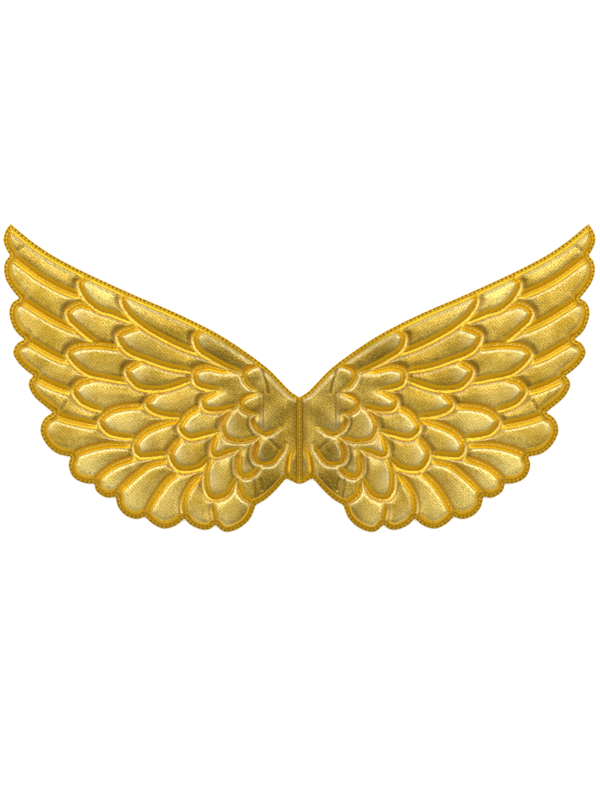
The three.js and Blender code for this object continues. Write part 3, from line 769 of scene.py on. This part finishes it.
def gold_cloth(name):
    """Champagne gold foil cloth that turns deep yellow where it is pressed down into a fold or the lip, with
    painted highlights, painted shade and painted shadows laid into its colour by the mesh's masks.
    """
    material, nodes, links, shader = new_material(name)
    weave = nodes.new("ShaderNodeGroup")
    weave.node_tree = foil_weave
    place_socket = nodes.new("ShaderNodeTexCoord").outputs["Object"]
    clouds = noise(nodes, links, place_socket, CLOUD_SCALE, 3.0)
    mottled = remap(nodes, links, clouds, NOISE_LOW, NOISE_HIGH)
    panel = blend_colour(nodes, links, mottled, PANEL_DEEP, PANEL_PALE)
    # Painted cream highlights at feather ends and along shoulders, paler patches of painted highlight, darker
    # patches of painted shade.
    panel = blend_colour(nodes, links, attribute(nodes, "tip"), panel, PANEL_HIGHLIGHT_CREAM)
    panel = blend_colour(nodes, links, attribute(nodes, "light"), panel, PANEL_HIGHLIGHT_PATCH)
    panel = blend_colour(nodes, links, attribute(nodes, "shade_patches"), panel, PANEL_PAINTED_SHADE)
    panel = blend_colour(nodes, links, attribute(nodes, "crest_highlight"), panel, PANEL_HIGHLIGHT_CREAM)
    speckled = remap(nodes, links, weave.outputs["Tone"], 0.0, 1.0, TONE_DARK, TONE_BRIGHT)
    smooth = math_node(nodes, links, "MULTIPLY", attribute(nodes, "tip"), TIP_SMOOTHNESS)
    speckled = blend(nodes, links, "FLOAT", smooth, speckled, 1.0)
    flecks = noise(nodes, links, place_socket, FLECK_SCALE, 1.0)
    yellowed = remap(nodes, links, flecks, FLECK_LOW, FLECK_HIGH, 0.0, FLECK_SHARE)
    panel = blend_colour(nodes, links, yellowed, panel, YARN_YELLOW)
    toned = scaled(nodes, links, panel, speckled)
    # Painted shadow in the tucks and creases.
    tuck_and_shadow = math_node(nodes, links, "MULTIPLY", attribute(nodes, "tuck_and_shadow"), TUCK_SHADOW_TONE)
    painted_shadow = math_node(nodes, links, "MAXIMUM", tuck_and_shadow, attribute(nodes, "crease"))
    colour = blend_colour(nodes, links, painted_shadow, toned, SHADOW_AND_SEAM_BROWN)
    # Walls: amber with painted shade, yellow painted light, the pale painted highlight strip, then the rim's
    # painted shadow line; the dark fold seam and the lip follow.
    colour = blend_colour(nodes, links, attribute(nodes, "under"), colour, WALL_AMBER_AND_SHADE)
    colour = blend_colour(nodes, links, attribute(nodes, "over"), colour, LIT_WALL_YELLOW)
    colour = blend_colour(nodes, links, attribute(nodes, "highlight_strip"), colour, HIGHLIGHT_STRIP_PALE)
    rim = math_node(nodes, links, "MULTIPLY", attribute(nodes, "rim"), RIM_SHADOW_TONE)
    colour = blend_colour(nodes, links, rim, colour, LIP_GOLD)
    seam = math_node(nodes, links, "MULTIPLY", attribute(nodes, "seam"), SEAM_TONE)
    colour = blend_colour(nodes, links, seam, colour, SHADOW_AND_SEAM_BROWN)
    colour = blend_colour(nodes, links, attribute(nodes, "lip"), colour, LIP_GOLD)
    links.new(colour, shader.inputs["Base Color"])
    shader.inputs["Metallic"].default_value = 1.0
    rough = remap(nodes, links, weave.outputs["Tone"], 0.0, 1.0, DARK_ROUGHNESS, BRIGHT_ROUGHNESS)
    links.new(rough, shader.inputs["Roughness"])
    bump = nodes.new("ShaderNodeBump")
    bump.inputs["Strength"].default_value = 0.5
    bump.inputs["Distance"].default_value = 0.0002
    links.new(weave.outputs["Height"], bump.inputs["Height"])
    links.new(bump.outputs["Normal"], shader.inputs["Normal"])
    return material


# Cloth colours; the highlight, lit, shade and shadow colours paint light and shade into the cloth.
PANEL_PALE = (0.69, 0.462, 0.090, 1.0)
PANEL_DEEP = (0.50, 0.304, 0.032, 1.0)
PANEL_HIGHLIGHT_CREAM = (0.84, 0.69, 0.32, 1.0)
PANEL_PAINTED_SHADE = (0.20, 0.120, 0.018, 1.0)
PANEL_HIGHLIGHT_PATCH = (0.90, 0.690, 0.210, 1.0)
WALL_AMBER_AND_SHADE = (0.76, 0.42, 0.009, 1.0)
LIT_WALL_YELLOW = (0.82, 0.54, 0.034, 1.0)
HIGHLIGHT_STRIP_PALE = (0.84, 0.72, 0.22, 1.0)
YARN_YELLOW = (0.68, 0.48, 0.040, 1.0)
SHADOW_AND_SEAM_BROWN = (0.12, 0.065, 0.008, 1.0)
LIP_GOLD = (0.56, 0.315, 0.008, 1.0)
GRAIN_SCALE = 1400.0
FLECK_SCALE = 900.0
CLOUD_SCALE = 60.0
NOISE_LOW = 0.38
NOISE_HIGH = 0.62
FLECK_LOW = 0.45
FLECK_HIGH = 0.65
FLECK_SHARE = 0.35
RIB_SHARE = 0.25
TONE_DARK = 0.50
TONE_BRIGHT = 1.44
TIP_SMOOTHNESS = 0.6
TUCK_SHADOW_TONE = 0.85
RIM_SHADOW_TONE = 0.7
SEAM_TONE = 0.2
DARK_ROUGHNESS = 0.43
BRIGHT_ROUGHNESS = 0.33
foil_weave = foil_weave_group()
front_cloth = gold_cloth("gold_front_cloth")
for piece, node in ((left_front, "left_wing_front"), (right_front, "right_wing_front")):
    piece.data.materials.append(front_cloth)
    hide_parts(node)
    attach(piece, "root")

# Stitches. Dark brown sewing thread: a running stitch round the middle of each lip, and one in the bottom of
# each fold, where it shows as a row of dark dots. Each stitch is an oval, half sunk in the cloth.
STITCH_PITCH = 0.0033
STITCH_SHARE = 0.55
LIP_STITCH_AWAY = 0.0011
STITCH_CLEAN_SHARE = 0.92
THREAD_OFFSET = 0.1
THREAD_RADIUS = 0.00022
LIP_THREAD_RADIUS = 0.00060
SPINE_THREAD_RADIUS = 0.00034


def stitch_places(line, heights):
    """The middle, direction and length of each stitch along a line whose points are one pitch apart."""
    middles = (line[:-1] + line[1:]) / 2
    runs = np.diff(line, axis=0)
    lengths = np.linalg.norm(runs, axis=1)
    return np.column_stack((middles, heights, runs / lengths[:, None], lengths * STITCH_SHARE))


def thread_piece(name, stitches, radius):
    """Many stitches as one mesh: copies of one small thread oval, each turned and stretched into place."""
    oval = bmesh.new()
    bmesh.ops.create_uvsphere(oval, u_segments=6, v_segments=5, radius=0.5)
    bmesh.ops.rotate(oval, matrix=Matrix.Rotation(math.pi / 2, 3, "Y"), verts=oval.verts)
    oval.verts.index_update()
    form = np.array([vert.co for vert in oval.verts])
    sides = [[vert.index for vert in face.verts] for face in oval.faces]
    oval.free()
    corners = []
    faces = []
    for x, y, z, run_x, run_y, length in stitches:
        first = len(corners)
        along = form[:, 0] * length
        across = form[:, 1] * 2 * radius
        placed_x = x + along * run_x - across * run_y
        placed_y = y + along * run_y + across * run_x
        corners.extend(np.column_stack((placed_x, placed_y, z + form[:, 2] * 2 * radius)))
        faces.extend([[first + index for index in face] for face in sides])
    mesh = bpy.data.meshes.new(name)
    mesh.from_pydata(corners, [], faces)
    return in_scene(mesh, name)


def other_side(stitches):
    """The same stitches on the left wing."""
    return stitches * (-1, 1, 1, -1, 1, 1)


def thread_material(name, colour):
    """Dull sewing thread in one colour."""
    material, _, _, shader = new_material(name)
    shader.inputs["Base Color"].default_value = colour
    shader.inputs["Roughness"].default_value = 0.7
    shader.inputs["Specular IOR Level"].default_value = 0.1
    return material


lip_middle = beside(free_edge, LIP_STITCH_AWAY)
lip_middle = lip_middle[gap_to(lip_middle, free_edge)[0] > STITCH_CLEAN_SHARE * LIP_STITCH_AWAY]
brown_thread = thread_material("brown_thread", (0.26, 0.120, 0.004, 1.0))
lip_steps = even_steps(lip_middle, STITCH_PITCH)
lip_thread_z = lip_top + THREAD_OFFSET * LIP_THREAD_RADIUS
lip_stitches = stitch_places(lip_steps, np.full(len(lip_steps) - 1, lip_thread_z))
fold_stitches = []
for line in fold_lines:
    steps = even_steps(line, STITCH_PITCH)
    heights = front_surface((steps[:-1] + steps[1:]) / 2)[0] - THREAD_OFFSET * THREAD_RADIUS
    fold_stitches.append(stitch_places(steps, heights))
fold_stitches = np.vstack(fold_stitches)
wing_threads = (
    thread_piece("right_lip_threads", lip_stitches, LIP_THREAD_RADIUS),
    thread_piece("left_lip_threads", other_side(lip_stitches), LIP_THREAD_RADIUS),
    thread_piece("right_fold_threads", fold_stitches, THREAD_RADIUS),
    thread_piece("left_fold_threads", other_side(fold_stitches), THREAD_RADIUS),
)
for piece in wing_threads:
    piece.data.materials.append(brown_thread)
    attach(piece, "root")

# Spine seam. The two wings are joined down the middle by a narrow flat band, folded from the same cloth
# turned to its amber side, with one row of stitches down its centre that gathers it a little at each stitch.
SPINE_STEP = 0.0005
SPINE_COLUMNS = 16
SPINE_EDGE_ROUNDING = 0.0002
SPINE_GROOVE_HALF = 0.0005
SPINE_END_SLOPE = 0.0020
SPINE_GROOVE_DEPTH = 0.0004
SPINE_GATHER = 0.00010
SPINE_GOLD = (0.48, 0.285, 0.014, 1.0)
SPINE_PITCH = 0.0032
SPINE_DOT_SHARE = 0.6
SPINE_PRESS_AWAY = 0.0012
SPINE_PRESS_HALF = 0.0004
SPINE_PRESS_TONE = 0.45
SPINE_THREAD_LIFT = 0.6
PLAIN_DARK = 0.7
PLAIN_BRIGHT = 1.2
SPINE_SLACK = 0.00001
spine_low, spine_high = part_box("spine_seam")
spine_half = inner_edge - SPINE_SLACK


def spine_top_end(x):
    """Where the band ends at the top: a shallow V that carries on the slope of both leading edges."""
    return spine_high[1] + (free_edge[0, 1] - spine_high[1]) * abs(x) / spine_half


def spine_height(x, y):
    """The band's top: rounded at both sides, flat at both ends, grooved and gathered along its stitches."""
    to_side = spine_half - abs(x)
    rounded = max(0.0, min(1.0, to_side / SPINE_EDGE_ROUNDING))
    edge_drop = SPINE_EDGE_ROUNDING * (1.0 - math.sqrt(1.0 - (1.0 - rounded) ** 2))
    gather = SPINE_GATHER * (1.0 + math.cos(2 * math.pi * (y - spine_low[1]) / SPINE_PITCH))
    groove = (SPINE_GROOVE_DEPTH + gather) * math.exp(-(x / SPINE_GROOVE_HALF) ** 2)
    to_end = min(y - spine_low[1], spine_top_end(x) - y)
    risen = min(1.0, max(0.0, (to_end - LIP_WIDTH) / SPINE_END_SLOPE))
    crown = lip_top + (spine_high[2] - lip_top) * risen
    return crown - edge_drop - groove * risen


def spine_band():
    """The folded band as a closed mesh."""
    shape = bmesh.new()
    rows = round((spine_high[1] - spine_low[1]) / SPINE_STEP)
    lip = shape.verts.layers.float.new("lip")
    press_line = shape.verts.layers.float.new("seam")
    bmesh.ops.create_grid(shape, x_segments=SPINE_COLUMNS, y_segments=rows, size=1.0)
    for vert in shape.verts:
        vert.co.x *= spine_half
        top_end = spine_top_end(vert.co.x)
        vert.co.y = spine_low[1] + (vert.co.y + 1.0) / 2 * (top_end - spine_low[1])
        vert.co.z = spine_height(vert.co.x, vert.co.y)
        vert[lip] = 1.0 if min(vert.co.y - spine_low[1], top_end - vert.co.y) < LIP_WIDTH else 0.0
        vert[press_line] = math.exp(-((abs(vert.co.x) - SPINE_PRESS_AWAY) / SPINE_PRESS_HALF) ** 2)
    close_down_to(shape, spine_low[2])
    return finished(shape, "spine_band")


def plain_gold_cloth(name, colour):
    """The foil cloth in one colour."""
    material, nodes, links, shader = new_material(name)
    weave = nodes.new("ShaderNodeGroup")
    weave.node_tree = foil_weave
    speckled = remap(nodes, links, weave.outputs["Tone"], 0.0, 1.0, PLAIN_DARK, PLAIN_BRIGHT)
    toned = scaled(nodes, links, colour[:3], speckled)
    pressed = math_node(nodes, links, "MULTIPLY", attribute(nodes, "seam"), SPINE_PRESS_TONE)
    edged = blend_colour(nodes, links, pressed, toned, SHADOW_AND_SEAM_BROWN)
    edged = blend_colour(nodes, links, attribute(nodes, "lip"), edged, LIP_GOLD)
    links.new(edged, shader.inputs["Base Color"])
    shader.inputs["Metallic"].default_value = 1.0
    shader.inputs["Roughness"].default_value = 0.5
    return material


spine = spine_band()
spine.data.materials.append(plain_gold_cloth("spine_cloth", SPINE_GOLD))
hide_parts("spine_seam")
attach(spine, "root")
spine_line = even_steps(np.array(((0.0, spine_low[1]), (0.0, spine_high[1]))), SPINE_PITCH)
spine_thread_z = spine_high[2] - SPINE_GROOVE_DEPTH + SPINE_THREAD_LIFT * SPINE_THREAD_RADIUS
spine_stitches = stitch_places(spine_line, np.full(len(spine_line) - 1, spine_thread_z))
spine_stitches[:, 5] *= SPINE_DOT_SHARE
spine_threads = thread_piece("spine_threads", spine_stitches, SPINE_THREAD_RADIUS)
spine_threads.data.materials.append(thread_material("gold_thread", (0.80, 0.60, 0.20, 1.0)))
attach(spine_threads, "root")

# Wing backs. Plain flat cloth that the whole wing rests on. The stitches of every fold come through it
# and pull a shallow dimple line up into it.
DIMPLE_DEPTH = 0.0004
DIMPLE_HALF = 0.0012
DIMPLE_THINNING = 0.35
BACK_FINE_STEP = 0.0018
BACK_GOLD = (0.60, 0.42, 0.10, 1.0)
back_low, back_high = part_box("right_wing_back")


def back_points():
    """Points that follow the edge and the dimple lines, filled in between with an even spread."""
    columns = np.arange(0.0, half_span, BACK_FINE_STEP)
    rows = np.arange(wing_foot, wing_foot + wing_height, BACK_FINE_STEP * math.sqrt(3) / 2)
    x, y = np.meshgrid(columns, rows)
    x[1::2] += BACK_FINE_STEP / 2
    fill = np.column_stack((x.ravel(), y.ravel()))
    folds = np.vstack([even_steps(line, BACK_FINE_STEP) for line in fold_lines])
    sides = np.vstack([beside(even_steps(line, BACK_FINE_STEP), offset)
                       for line in fold_lines for offset in (-DIMPLE_HALF, DIMPLE_HALF)])
    spread = np.vstack((folds, sides, fill))
    spread = clear_of(spread[inside(spread, edge)], [closed_edge], EDGE_CLEARANCE * BACK_FINE_STEP)
    return np.vstack((edge[::2], thinned(spread, POINT_CLEARANCE * BACK_FINE_STEP)))


def wing_back(name, side):
    """One back as a closed sheet of cloth with its dimple lines pressed up into it."""
    shape = bmesh.new()
    layers = []
    for on_top in (False, True):
        lift = back_high[2] - back_low[2] if on_top else 0.0
        corners = [shape.verts.new((side * x, y, z + lift * (1.0 - dip))) for x, y, z, dip in back_corners]
        layers.append(corners)
        for a, b, c in back_faces:
            shape.faces.new((corners[a], corners[b], corners[c]))
    bmesh.ops.bridge_loops(shape, edges=[e for e in shape.edges if e.is_boundary])
    return finished(shape, name)


back_spread = back_points()
back_rim = len(edge[::2])
back_knit = delaunay_2d_cdt(
    [Vector(p) for p in back_spread], [(i, (i + 1) % back_rim) for i in range(back_rim)], [], 1, 1e-7)
back_spread = np.array([tuple(p) for p in back_knit[0]])
back_faces = back_knit[2]
back_dip = np.max([hump(gap_to(back_spread, line)[0], DIMPLE_HALF) for line in fold_lines], axis=0)
back_foot = back_low[2] + DIMPLE_DEPTH * back_dip
back_corners = np.column_stack((back_spread, back_foot, DIMPLE_THINNING * back_dip))
left_back = wing_back("left_back", -1)
right_back = wing_back("right_back", 1)
back_cloth = plain_gold_cloth("gold_back_cloth", BACK_GOLD)
for piece, node in ((left_back, "left_wing_back"), (right_back, "right_wing_back")):
    piece.data.materials.append(back_cloth)
    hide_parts(node)
    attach(piece, "root")

# Floor, lights and camera. The wings lie on a back-lit white table and are seen from straight above.
FLOOR_GLOW = 0.35
floor_shape = bmesh.new()
bmesh.ops.create_grid(floor_shape, x_segments=1, y_segments=1, size=3.0)
floor_mesh = bpy.data.meshes.new("studio_floor")
floor_shape.to_mesh(floor_mesh)
floor_shape.free()
floor = bpy.data.objects.new("studio_floor", floor_mesh)
bpy.context.scene.collection.objects.link(floor)
floor_material, _, _, floor_shader = new_material("white_floor")
floor_shader.inputs["Base Color"].default_value = (0.95, 0.95, 0.95, 1.0)
floor_shader.inputs["Roughness"].default_value = 0.9
floor_shader.inputs["Emission Color"].default_value = (1.0, 1.0, 1.0, 1.0)
floor_shader.inputs["Emission Strength"].default_value = FLOOR_GLOW
floor_mesh.materials.append(floor_material)


def soft_light(name, place_from, aim, size, power):
    """A rectangular studio softbox aimed at a point."""
    data = bpy.data.lights.new(name, "AREA")
    data.shape = "RECTANGLE"
    data.size, data.size_y = size
    data.energy = power
    light = bpy.data.objects.new(name, data)
    light.location = place_from
    light.rotation_euler = (Vector(aim) - Vector(place_from)).to_track_quat("-Z", "Y").to_euler()
    bpy.context.scene.collection.objects.link(light)


soft_light("top_softbox", (0.0, 0.95, 1.35), (0.0, 0.0, 0.0), (1.8, 0.4), 7.4)
for side in (-1, 1):
    soft_light("side_softbox", (0.95 * side, 0.45, 1.25), (0.1 * side, 0.0, 0.0), (0.35, 0.8), 4.5)
world = bpy.data.worlds.new("studio")
world.use_nodes = True
world.node_tree.nodes["Background"].inputs["Color"].default_value = (1.0, 1.0, 1.0, 1.0)
world.node_tree.nodes["Background"].inputs["Strength"].default_value = 0.66
bpy.context.scene.world = world
bpy.context.scene.view_settings.view_transform = "Standard"

CAMERA_HEIGHT = 1.690
CAMERA_ASIDE = 0.0004
CAMERA_DOWN = -0.0168
camera_data = bpy.data.cameras.new("camera")
camera_data.lens = 100.0
camera_data.sensor_width = 36.0
camera = bpy.data.objects.new("camera", camera_data)
camera.location = (CAMERA_ASIDE, CAMERA_DOWN, CAMERA_HEIGHT)
bpy.context.scene.collection.objects.link(camera)
bpy.context.scene.camera = camera
